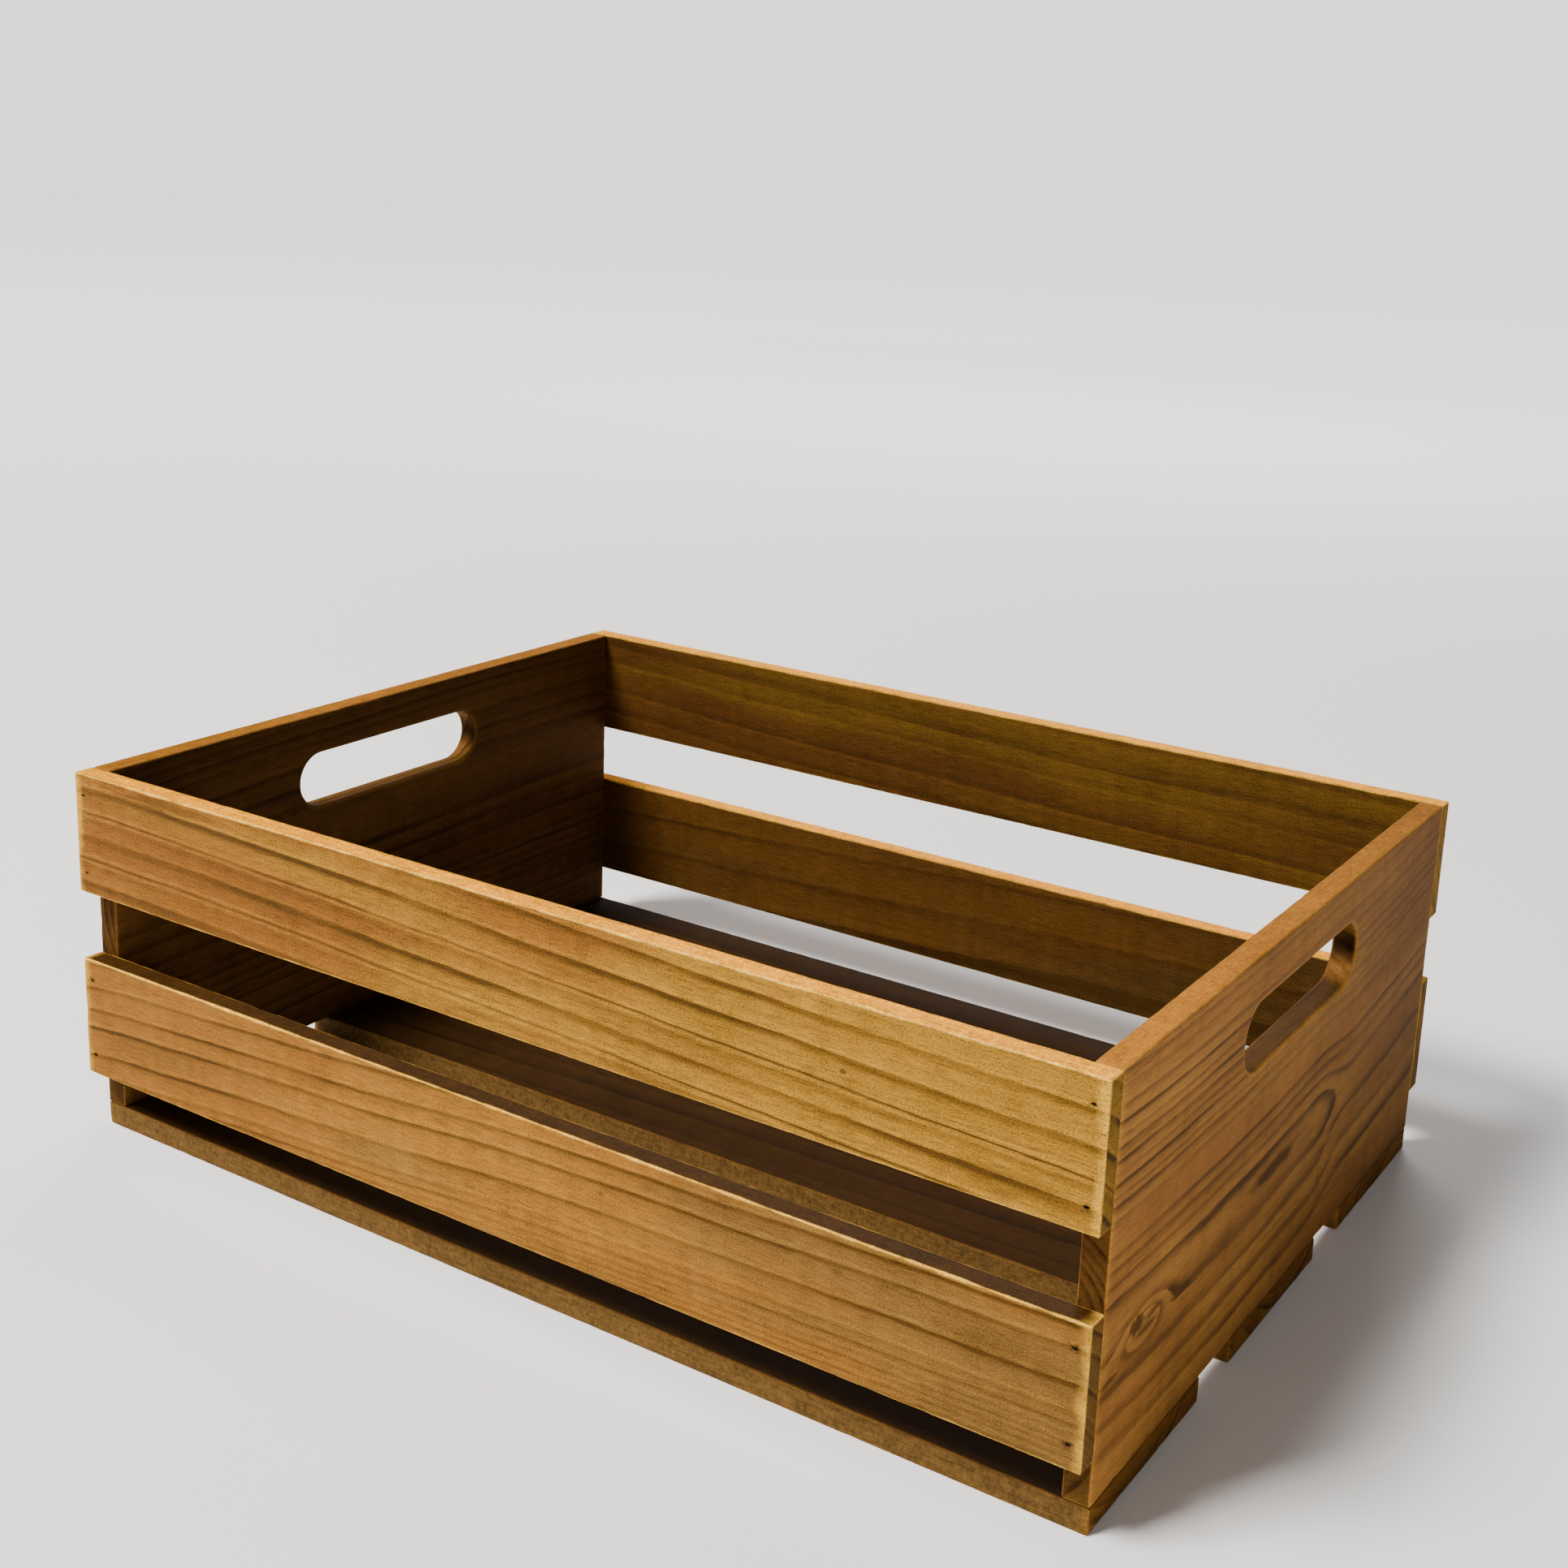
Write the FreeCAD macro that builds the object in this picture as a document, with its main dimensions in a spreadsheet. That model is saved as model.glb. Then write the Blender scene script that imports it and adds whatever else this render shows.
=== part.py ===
"""Slatted wooden storage crate with two hand slots, as a parametric document.

Two end panels stand on three lengthwise bottom slats. Two side slats on each long side lie
over the panels' upright edges, flush with their outer faces. Two brads hold each slat end,
with their heads sunk below the wood's surface.

Frame: origin at the centre of the underside, X along the crate's length, the front long
side at -Y, the right end panel at +X, +Z up. Millimetres.
"""
import FreeCAD, Part
import math
import os
import re

import Sketcher
from FreeCAD import Placement, Rotation, Vector

# Driving sizes: alias, value, what it is.
SIZES = [
    ("crate_length", 460.0, "overall, along X"),
    ("crate_depth", 334.0, "overall, over the side slats, along Y"),
    ("crate_height", 158.0, "overall, underside to rim"),
    ("side_slat_thickness", 9.0, "across the board, along Y"),
    ("side_slat_width", 51.0, "up the crate, along Z"),
    ("lower_slat_rise", 17.0, "from the bottom slats' upper face to the lower side slat"),
    ("end_panel_thickness", 10.0, "along X"),
    ("bottom_slat_thickness", 10.0, "along Z"),
    ("bottom_slat_gap", 27.5, "between neighbouring bottom slats"),
    ("hand_slot_length", 113.0, "end to end, over its round ends"),
    ("hand_slot_height", 25.0, "also the diameter of its round ends"),
    ("hand_slot_drop", 31.0, "from the rim to the slot's centre line"),
    ("arris_radius", 0.8, "eased edges of slats and panels"),
    ("hand_slot_edge_radius", 1.5, "eased edges of the hand slots"),
    ("brad_shank_diameter", 1.4, "also the bore that a driven brad fills"),
    ("brad_head_diameter", 2.2, "also the pit above a sunk head"),
    ("brad_head_height", 0.9, "head only"),
    ("brad_length", 28.0, "head to point"),
    ("brad_point_length", 2.5, "tapered tip"),
    ("brad_point_diameter", 0.3, "blunt end of the tip"),
    ("brad_sink", 1.0, "from the wood's surface down to the head"),
    ("side_brad_inset", 9.0, "from a side slat's long edge to a brad"),
    ("bottom_brad_inset", 18.0, "from a bottom slat's long edge to a brad"),
]

# Sizes that follow from the driving ones: alias, formula, what it is.
FITTED_SIZES = [
    ("end_panel_depth", "crate_depth - 2 * side_slat_thickness", "between the side slats"),
    ("end_panel_height", "crate_height - bottom_slat_thickness", "bottom slats to rim"),
    ("bottom_slat_width", "(end_panel_depth - 2 * bottom_slat_gap) / 3", "three slats"),
    ("bottom_slat_pitch", "bottom_slat_width + bottom_slat_gap", "centre to centre"),
    ("brad_row", "(crate_length - end_panel_thickness) / 2", "brads enter mid-panel"),
    ("side_layer", "(crate_depth - side_slat_thickness) / 2", "middle of the side slats"),
    ("bottom_layer", "bottom_slat_thickness / 2", "middle of the bottom slats"),
    ("top_slat_level", "crate_height - side_slat_width / 2", "centre line"),
    ("lower_slat_level", "bottom_slat_thickness + lower_slat_rise + side_slat_width / 2",
     "centre line"),
    ("panel_level", "bottom_slat_thickness + end_panel_height / 2", "panel's centre"),
    ("hand_slot_rise", "end_panel_height / 2 - hand_slot_drop", "above the panel's centre"),
    ("side_brad_offset", "side_slat_width / 2 - side_brad_inset", "from the centre line"),
    ("bottom_brad_offset", "bottom_slat_width / 2 - bottom_brad_inset", "from the centre line"),
    ("side_bore_depth", "brad_sink + brad_length - side_slat_thickness", "in the panel"),
    ("bottom_bore_depth", "brad_sink + brad_length - bottom_slat_thickness", "in the panel"),
]

# Kinds of slat: the aliases of its width, thickness and brad spacing from the centre line.
SIDE = ("side_slat_width", "side_slat_thickness", "side_brad_offset")
BOTTOM = ("bottom_slat_width", "bottom_slat_thickness", "bottom_brad_offset")

# A slat's own frame has X along it, Z across it and its outer face towards -Y.
FACING_FRONT = Rotation()
FACING_BACK = Rotation(Vector(0, 0, 1), 180)
FACING_DOWN = Rotation(Vector(1, 0, 0), 90)

# The slats: where each one is, its kind, how it is turned, and its centre's Y and Z.
SLATS = [
    ("front_top", SIDE, FACING_FRONT, "-side_layer", "top_slat_level"),
    ("front_lower", SIDE, FACING_FRONT, "-side_layer", "lower_slat_level"),
    ("back_top", SIDE, FACING_BACK, "side_layer", "top_slat_level"),
    ("back_lower", SIDE, FACING_BACK, "side_layer", "lower_slat_level"),
    ("bottom_front", BOTTOM, FACING_DOWN, "-bottom_slat_pitch", "bottom_layer"),
    ("bottom_middle", BOTTOM, FACING_DOWN, "0", "bottom_layer"),
    ("bottom_back", BOTTOM, FACING_DOWN, "bottom_slat_pitch", "bottom_layer"),
]

# The end panels: which end, and the sign of its X.
ENDS = [("left", "-"), ("right", "")]

# Where slats cross an end panel, from its centre: up for side slats, along Y for bottom ones.
SIDE_CROSSINGS = ["lower_slat_level - panel_level", "top_slat_level - panel_level"]
BOTTOM_CROSSINGS = ["-bottom_slat_pitch", "0", "bottom_slat_pitch"]


def make_sheet(doc):
    """The spreadsheet of sizes: a name, a number or formula, and a note in each row."""
    sheet = doc.addObject("Spreadsheet::Sheet", "sizes")
    rows = [(alias, str(value), note) for alias, value, note in SIZES]
    rows += [(alias, "=" + formula, note) for alias, formula, note in FITTED_SIZES]
    for row, (alias, content, note) in enumerate(rows, start=1):
        sheet.set("A%d" % row, alias)
        sheet.set("B%d" % row, content)
        sheet.set("C%d" % row, note)
        sheet.setAlias("B%d" % row, alias)
    doc.recompute()
    return sheet


def sized(formula):
    """A formula of aliases with each alias pointing at the sheet."""
    return re.sub("[a-z_]+", lambda word: "sizes." + word.group(), formula)


def origin_plane(body, role):
    return next(item for item in body.Origin.OriginFeatures if item.Role == role)


def new_body(doc, name, rotation, place):
    """An empty body, turned, and placed by three formulas."""
    body = doc.addObject("PartDesign::Body", name)
    body.Label = name
    body.Placement = Placement(Vector(), rotation)
    for axis, formula in zip("xyz", place):
        body.setExpression(".Placement.Base." + axis, sized(formula))
    return body


def new_sketch(body, name, plane, lift=None):
    """A sketch on one of the body's origin planes, lifted along its normal by a formula."""
    sketch = body.newObject("Sketcher::SketchObject", body.Name + "_" + name)
    sketch.AttachmentSupport = [(origin_plane(body, plane), "")]
    sketch.MapMode = "FlatFace"
    if lift:
        sketch.setExpression(".AttachmentOffset.Base.z", sized(lift))
    return sketch


def amount(item, formula):
    """The formula's value now, in millimetres."""
    return float(item.evalExpression(sized(formula)))


def bind(sketch, kind, points, formula):
    """Adds a dimension between points of the sketch and ties it to the sheet."""
    value = amount(sketch, formula)
    index = sketch.addConstraint(Sketcher.Constraint(kind, *points, value))
    sketch.setExpression("Constraints[%d]" % index, sized(formula))


def draw_polygon(sketch, corners):
    """Closed straight lines through the corners, joined end to end."""
    count = len(corners)
    for side in range(count):
        line = Part.LineSegment(corners[side], corners[(side + 1) % count])
        sketch.addGeometry(line, False)
    for side in range(count):
        sketch.addConstraint(Sketcher.Constraint("Coincident", side, 2, (side + 1) % count, 1))


def draw_rectangle(sketch, width, height):
    """A rectangle centred on the sketch's origin."""
    x = amount(sketch, width) / 2
    y = amount(sketch, height) / 2
    draw_polygon(sketch, [Vector(-x, -y), Vector(x, -y), Vector(x, y), Vector(-x, y)])
    for side, direction in enumerate(("Horizontal", "Vertical") * 2):
        sketch.addConstraint(Sketcher.Constraint(direction, side))
    sketch.addConstraint(Sketcher.Constraint("Symmetric", 0, 1, 1, 2, -1, 1))
    bind(sketch, "DistanceX", (0, 1, 0, 2), width)
    bind(sketch, "DistanceY", (1, 1, 1, 2), height)


def draw_slot(sketch, length, height, rise):
    """A slot with full round ends, centred across the sketch, at a height above its origin."""
    radius = amount(sketch, height) / 2
    reach = amount(sketch, length) / 2 - radius
    middle = amount(sketch, rise)
    low, high = middle - radius, middle + radius
    upright = math.pi / 2
    right = Part.Circle(Vector(reach, middle), Vector(0, 0, 1), radius)
    left = Part.Circle(Vector(-reach, middle), Vector(0, 0, 1), radius)
    sketch.addGeometry(Part.ArcOfCircle(right, -upright, upright), False)
    sketch.addGeometry(Part.LineSegment(Vector(reach, high), Vector(-reach, high)), False)
    sketch.addGeometry(Part.ArcOfCircle(left, upright, 3 * upright), False)
    sketch.addGeometry(Part.LineSegment(Vector(-reach, low), Vector(reach, low)), False)
    for piece in range(4):
        sketch.addConstraint(Sketcher.Constraint("Tangent", piece, 2, (piece + 1) % 4, 1))
    sketch.addConstraint(Sketcher.Constraint("Equal", 0, 2))
    sketch.addConstraint(Sketcher.Constraint("Symmetric", 0, 3, 2, 3, -2))
    bind(sketch, "DistanceX", (2, 3, 0, 3), length + " - " + height)
    bind(sketch, "Radius", (0,), height + " / 2")
    bind(sketch, "DistanceY", (-1, 1, 0, 3), rise)


def draw_spots(sketch, spots, diameter):
    """A circle at each brad; a spot is two formulas, from the sketch's origin."""
    for index, (across, up) in enumerate(spots):
        centre = Vector(amount(sketch, across), amount(sketch, up))
        radius = amount(sketch, diameter) / 2
        sketch.addGeometry(Part.Circle(centre, Vector(0, 0, 1), radius), False)
        bind(sketch, "Radius", (index,), diameter + " / 2")
        bind(sketch, "DistanceX", (-1, 1, index, 3), across)
        bind(sketch, "DistanceY", (-1, 1, index, 3), up)


def pad_board(body, outline, thickness):
    """The outline's board, half its thickness to each side, with every edge eased."""
    pad = body.newObject("PartDesign::Pad", body.Name + "_board")
    pad.Profile = outline
    pad.SideType = "Symmetric"
    pad.setExpression("Length", sized(thickness))
    body.Document.recompute()
    ease_edges(body, "arris_radius", ["Edge1"], every_edge=True)


def ease_edges(body, radius, edges, every_edge=False):
    """Rounds the named edges of the body's tip, or all of them."""
    base = body.Tip
    fillet = body.newObject("PartDesign::Fillet", body.Name + "_" + radius)
    fillet.Base = (base, edges)
    fillet.UseAllEdges = every_edge
    fillet.setExpression("Radius", sized(radius))
    body.Document.recompute()


def cut(body, sketch, name, depth=None, upwards=False):
    """Pockets the sketch's shapes: to a depth, or right through the body both ways."""
    before = body.Shape.Volume
    pocket = body.newObject("PartDesign::Pocket", body.Name + "_" + name)
    pocket.Profile = sketch
    if depth:
        pocket.Type = "Length"
        pocket.Reversed = upwards
        pocket.setExpression("Length", sized(depth))
    else:
        pocket.SideType = "Symmetric"
        pocket.Type = "ThroughAll"
    body.Document.recompute()
    if body.Shape.Volume >= before:
        raise RuntimeError(pocket.Name + " removes nothing")
    return pocket


def mirror(body, feature, plane):
    """Repeats one of the body's features across one of its origin planes."""
    copy = body.newObject("PartDesign::Mirrored", body.Name + "_mirrored")
    copy.Originals = [feature]
    copy.MirrorPlane = (origin_plane(body, plane), [""])
    body.Tip = copy
    body.Document.recompute()


def both_signs(formula):
    """A formula below and above zero."""
    return ["-" + formula, formula]


def make_slat(doc, name, kind, rotation, place):
    """A board with a brad bore near each corner and a pit over each bore."""
    width, thickness, brad_offset = kind
    body = new_body(doc, name, rotation, place)
    outline = new_sketch(body, "outline", "XZ_Plane")
    draw_rectangle(outline, "crate_length", width)
    pad_board(body, outline, thickness)

    corners = [(x, z) for x in both_signs("brad_row") for z in both_signs(brad_offset)]
    bores = new_sketch(body, "bores", "XZ_Plane")
    draw_spots(bores, corners, "brad_shank_diameter")
    cut(body, bores, "bore_cut")
    pits = new_sketch(body, "pits", "XZ_Plane", lift=thickness + " / 2")
    draw_spots(pits, corners, "brad_head_diameter")
    cut(body, pits, "pit_cut", depth="brad_sink + brad_head_height")
    return body


def make_end_panel(doc, sheet, name, sign):
    """An end board with its hand slot, and a blind bore for each brad that enters it."""
    body = new_body(doc, name, Rotation(), (sign + "brad_row", "0", "panel_level"))
    outline = new_sketch(body, "outline", "YZ_Plane")
    draw_rectangle(outline, "end_panel_depth", "end_panel_height")
    pad_board(body, outline, "end_panel_thickness")

    slot = new_sketch(body, "hand_slot", "YZ_Plane")
    draw_slot(slot, "hand_slot_length", "hand_slot_height", "hand_slot_rise")
    cut(body, slot, "hand_slot_cut")
    ease_edges(body, "hand_slot_edge_radius", slot_edges(body.Tip.Shape, sheet))

    levels = [level + sign_of_brad + "side_brad_offset"
              for level in SIDE_CROSSINGS for sign_of_brad in (" - ", " + ")]
    side_bores = new_sketch(body, "side_bores", "XZ_Plane", lift="end_panel_depth / 2")
    draw_spots(side_bores, [("0", level) for level in levels], "brad_shank_diameter")
    front = cut(body, side_bores, "side_bore_cut", depth="side_bore_depth")
    mirror(body, front, "XZ_Plane")

    places = [place + sign_of_brad + "bottom_brad_offset"
              for place in BOTTOM_CROSSINGS for sign_of_brad in (" - ", " + ")]
    bottom_bores = new_sketch(body, "bottom_bores", "XY_Plane", lift="-end_panel_height / 2")
    draw_spots(bottom_bores, [("0", place) for place in places], "brad_shank_diameter")
    cut(body, bottom_bores, "bottom_bore_cut", depth="bottom_bore_depth", upwards=True)
    return body


def slot_edges(shape, sheet):
    """The names of the edges round the hand slot on both faces of a panel."""
    reach = sheet.hand_slot_length / 2 + sheet.arris_radius
    middle = sheet.hand_slot_rise
    half = sheet.hand_slot_height / 2 + sheet.arris_radius
    names = []
    for number, edge in enumerate(shape.Edges, start=1):
        box = edge.BoundBox
        flat = box.XLength < sheet.arris_radius
        across = -reach < box.YMin and box.YMax < reach
        level = middle - half < box.ZMin and box.ZMax < middle + half
        if flat and across and level:
            names.append("Edge%d" % number)
    return names


def draw_brad(sketch, head_drop):
    """Half a brad's outline against the vertical axis, its head below the sketch's origin."""
    head = amount(sketch, "brad_head_diameter") / 2
    shank = amount(sketch, "brad_shank_diameter") / 2
    tip = amount(sketch, "brad_point_diameter") / 2
    start = -amount(sketch, head_drop)
    neck = start + amount(sketch, "brad_head_height")
    end = start + amount(sketch, "brad_length")
    taper = end - amount(sketch, "brad_point_length")
    draw_polygon(sketch, [
        Vector(0, start), Vector(head, start), Vector(head, neck), Vector(shank, neck),
        Vector(shank, taper), Vector(tip, end), Vector(0, end),
    ])
    for side in (0, 2, 5):
        sketch.addConstraint(Sketcher.Constraint("Horizontal", side))
    for side in (1, 3, 6):
        sketch.addConstraint(Sketcher.Constraint("Vertical", side))
    sketch.addConstraint(Sketcher.Constraint("PointOnObject", 0, 1, -2))
    bind(sketch, "DistanceY", (0, 1, -1, 1), head_drop)
    bind(sketch, "DistanceX", (0, 1, 0, 2), "brad_head_diameter / 2")
    bind(sketch, "DistanceY", (1, 1, 1, 2), "brad_head_height")
    bind(sketch, "DistanceX", (0, 1, 3, 1), "brad_shank_diameter / 2")
    bind(sketch, "DistanceY", (4, 1, 4, 2), "brad_point_length")
    bind(sketch, "DistanceX", (5, 2, 5, 1), "brad_point_diameter / 2")
    bind(sketch, "DistanceY", (0, 1, 5, 2), "brad_length")


def make_brads(doc, name, kind, rotation, place):
    """The pair of brads at one end of a slat, in the slat's own frame."""
    thickness, brad_offset = kind[1:]
    body = new_body(doc, name, rotation, place)
    body.AllowCompound = True
    profile = new_sketch(body, "profile", "XY_Plane", lift=brad_offset)
    draw_brad(profile, thickness + " / 2 - brad_sink")
    doc.recompute()

    turned = body.newObject("PartDesign::Revolution", body.Name + "_turned")
    turned.Profile = profile
    turned.ReferenceAxis = (profile, ["V_Axis"])
    turned.Angle = 360
    doc.recompute()
    mirror(body, turned, "XY_Plane")
    return body


def check(doc, pieces):
    """Stops if an object failed, a sketch is loose, or a piece isn't a sound solid."""
    failed = [item.Name for item in doc.Objects if {"Invalid", "Error"} & set(item.State)]
    if failed:
        raise RuntimeError("failed objects: " + ", ".join(failed))
    for sketch in doc.findObjects("Sketcher::SketchObject"):
        if not sketch.FullyConstrained:
            raise RuntimeError("loose sketch: " + sketch.Name)
    for piece in pieces:
        if piece.Shape.isNull() or not piece.Shape.isValid() or not piece.Shape.Solids:
            raise RuntimeError("bad shape: " + piece.Label)


def main():
    doc = FreeCAD.newDocument("slatted_crate")
    sheet = make_sheet(doc)
    pieces = [make_end_panel(doc, sheet, end + "_end_panel", sign) for end, sign in ENDS]
    for where, kind, rotation, y, z in SLATS:
        pieces.append(make_slat(doc, where + "_slat", kind, rotation, ("0", y, z)))
        for end, sign in ENDS:
            place = (sign + "brad_row", y, z)
            pieces.append(make_brads(doc, "brads_" + where + "_" + end, kind, rotation, place))
    doc.recompute()
    check(doc, pieces)

    os.makedirs("parts", exist_ok=True)
    for piece in pieces:
        piece.Shape.exportStep("parts/" + piece.Label + ".step")
    print("%d pieces, %d solids" % (len(pieces), sum(len(piece.Shape.Solids) for piece in pieces)))


main()
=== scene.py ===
"""Slatted wooden crate: worn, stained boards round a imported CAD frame. Metres, +Z up."""

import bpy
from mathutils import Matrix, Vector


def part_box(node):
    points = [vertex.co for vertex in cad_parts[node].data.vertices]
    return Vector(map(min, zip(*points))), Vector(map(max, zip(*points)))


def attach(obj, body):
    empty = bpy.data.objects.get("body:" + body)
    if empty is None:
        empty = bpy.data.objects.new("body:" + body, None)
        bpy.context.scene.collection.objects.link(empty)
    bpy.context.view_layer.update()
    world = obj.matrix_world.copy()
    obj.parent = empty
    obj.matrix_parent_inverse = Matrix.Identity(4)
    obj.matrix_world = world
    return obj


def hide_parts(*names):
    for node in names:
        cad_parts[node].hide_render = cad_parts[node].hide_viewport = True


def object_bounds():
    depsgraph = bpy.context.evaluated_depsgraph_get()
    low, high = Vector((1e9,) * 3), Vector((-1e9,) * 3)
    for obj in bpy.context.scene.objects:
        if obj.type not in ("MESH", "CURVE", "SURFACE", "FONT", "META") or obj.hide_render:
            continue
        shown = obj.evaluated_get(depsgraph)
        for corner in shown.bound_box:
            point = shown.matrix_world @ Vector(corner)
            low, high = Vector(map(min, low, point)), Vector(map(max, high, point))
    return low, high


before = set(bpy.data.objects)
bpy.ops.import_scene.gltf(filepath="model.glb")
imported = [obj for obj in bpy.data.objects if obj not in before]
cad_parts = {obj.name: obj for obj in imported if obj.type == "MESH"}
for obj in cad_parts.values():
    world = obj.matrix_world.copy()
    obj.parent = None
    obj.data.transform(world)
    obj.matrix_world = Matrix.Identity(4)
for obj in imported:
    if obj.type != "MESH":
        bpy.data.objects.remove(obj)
CAD_BOX = [list(corner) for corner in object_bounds()]

import math
import random

import bmesh
import bpy
from mathutils import Matrix, Vector, noise

MM = 0.001

# ---------------------------------------------------------------- node writing


class Shader:
    """Writes a node tree as sums: most calls add a node and return its output."""

    def __init__(self, tree):
        self.tree = tree

    def node(self, kind, **settings):
        made = self.tree.nodes.new(kind)
        for key, value in settings.items():
            setattr(made, key, value)
        return made

    def feed(self, socket, value):
        if isinstance(value, bpy.types.NodeSocket):
            self.tree.links.new(value, socket)
        elif socket.type == "RGBA" and len(value) == 3:
            socket.default_value = (*value, 1)
        else:
            socket.default_value = value

    def sum(self, operation, *values):
        made = self.node("ShaderNodeMath", operation=operation)
        for socket, value in zip(made.inputs, values):
            self.feed(socket, value)
        return made.outputs[0]

    def add(self, a, b):
        return self.sum("ADD", a, b)

    def sub(self, a, b):
        return self.sum("SUBTRACT", a, b)

    def mul(self, a, b):
        return self.sum("MULTIPLY", a, b)

    def scaled(self, a, by, plus):
        return self.sum("MULTIPLY_ADD", a, by, plus)

    def least(self, a, b):
        return self.sum("MINIMUM", a, b)

    def most(self, a, b):
        return self.sum("MAXIMUM", a, b)

    def ramp(self, value, start, end, low=0.0, high=1.0, smooth=True):
        """The value's place between start and end, as a number between low and high."""
        kind = "SMOOTHSTEP" if smooth else "LINEAR"
        made = self.node("ShaderNodeMapRange", interpolation_type=kind, clamp=True)
        for socket, number in zip(made.inputs, (value, start, end, low, high)):
            self.feed(socket, number)
        return made.outputs[0]

    def vector(self, x, y, z):
        made = self.node("ShaderNodeCombineXYZ")
        for socket, value in zip(made.inputs, (x, y, z)):
            self.feed(socket, value)
        return made.outputs[0]

    def split(self, vector):
        made = self.node("ShaderNodeSeparateXYZ")
        self.feed(made.inputs[0], vector)
        return made.outputs

    def noise(self, x, y, z, seed, detail=2.0, roughness=0.5):
        """Smooth noise about 0, roughly within -1 to 1."""
        made = self.node("ShaderNodeTexNoise")
        shift = self.vector(self.add(x, seed * 7.31), self.add(y, seed * 3.17), z)
        self.feed(made.inputs["Vector"], shift)
        self.feed(made.inputs["Scale"], 1.0)
        self.feed(made.inputs["Detail"], detail)
        self.feed(made.inputs["Roughness"], roughness)
        return self.scaled(made.outputs["Fac"], 4.0, -2.0)

    def grain(self, place, lengths, seed, detail=2.0, roughness=0.5):
        """Noise whose features are lengths[0] long on the grain and lengths[1] across it."""
        u, v, w = place
        along, over = 1 / lengths[0], 1 / lengths[1]
        return self.noise(self.mul(u, along), self.mul(v, over), self.mul(w, over),
                          seed, detail, roughness)

    def stops(self, value, places, values, kind="LINEAR"):
        """The value read off a curve through places, each from 0 to 1."""
        made = self.node("ShaderNodeValToRGB")
        ramp = made.color_ramp
        ramp.interpolation = kind
        while len(ramp.elements) < len(places):
            ramp.elements.new(0.5)
        for stop, spot, level in zip(ramp.elements, places, values):
            stop.position = spot
            stop.color = (level, level, level, 1)
        self.feed(made.inputs[0], value)
        return made.outputs[0]

    def mix(self, share, a, b, blend="MIX"):
        made = self.node("ShaderNodeMix", data_type="RGBA", blend_type=blend)
        self.feed(made.inputs[0], share)
        self.feed(made.inputs[6], a)
        self.feed(made.inputs[7], b)
        return made.outputs[2]


# ---------------------------------------------------------------- camera, floor and light

VIEW_AZIMUTH, VIEW_ELEVATION, VIEW_ROLL = 31.3, 13.93, 2.66
CAMERA_PLACE = (0.44514, -0.66683, 0.41438)
LENS = 46.6
SENSOR_WIDTH = 36
SHIFT = (-0.0539, -0.0822)
CLIP_START = 0.01
FLOOR_GREY = 0.90
HORIZON = 12.0
HORIZON_GLOW = 1.75
FLOOR_GLOW = 1.60
GLOW_FROM_TO = (0.7, 4.2)
GLOW_COLOUR = (1.0, 0.99, 0.975, 1)
ROUND_POINTS = 96
WALL_INSET = 0.01
WALL_FOOT = -0.02
LIGHT_TARGET = (0, 0, 0.08)
# Name, place, size, power and colour.
LIGHTS = (
    ("key", (-1.28, -1.96, 3.32), 1.3, 350, (1.0, 0.965, 0.92)),
    ("fill", (1.45, -1.75, 0.95), 0.9, 9, (1.0, 0.96, 0.92)),
    ("back", (-0.9, 2.3, 1.7), 1.6, 42, (1.0, 0.98, 0.96)),
)
WORLD_STRENGTH = 0.12


def make_camera():
    azimuth, elevation, roll = map(math.radians, (VIEW_AZIMUTH, VIEW_ELEVATION, VIEW_ROLL))
    back = Vector((
        math.sin(azimuth) * math.cos(elevation),
        -math.cos(azimuth) * math.cos(elevation),
        math.sin(elevation),
    ))
    right = (-back).cross(Vector((0, 0, 1))).normalized()
    up = back.cross(right)
    turned_right = math.cos(roll) * right + math.sin(roll) * up
    turned_up = math.cos(roll) * up - math.sin(roll) * right
    camera = bpy.data.objects.new("camera", bpy.data.cameras.new("camera"))
    camera.data.lens = LENS
    camera.data.sensor_width = SENSOR_WIDTH
    camera.data.shift_x, camera.data.shift_y = SHIFT
    camera.data.clip_start = CLIP_START
    axes = Matrix((turned_right, turned_up, back)).transposed().to_4x4()
    camera.matrix_world = Matrix.Translation(CAMERA_PLACE) @ axes
    bpy.context.scene.collection.objects.link(camera)
    bpy.context.scene.camera = camera


def ring_points(radius, height):
    turns = (2 * math.pi * step / ROUND_POINTS for step in range(ROUND_POINTS))
    return [Vector((radius * math.cos(turn), radius * math.sin(turn), height)) for turn in turns]


def make_stage_piece(name, points, faces, material):
    mesh = bpy.data.meshes.new(name)
    mesh.from_pydata(points, [], faces)
    mesh.materials.append(material)
    piece = bpy.data.objects.new(name, mesh)
    bpy.context.scene.collection.objects.link(piece)
    return piece


def stage_material(name, grey):
    """Matt and pale, with a glow that the caller sets."""
    material = bpy.data.materials.new(name)
    material.use_nodes = True
    shader = material.node_tree.nodes["Principled BSDF"]
    shader.inputs["Base Color"].default_value = (grey, grey, grey, 1)
    shader.inputs["Roughness"].default_value = 1.0
    shader.inputs["Specular IOR Level"].default_value = 0.0
    shader.inputs["Emission Color"].default_value = GLOW_COLOUR
    return material, shader


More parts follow.
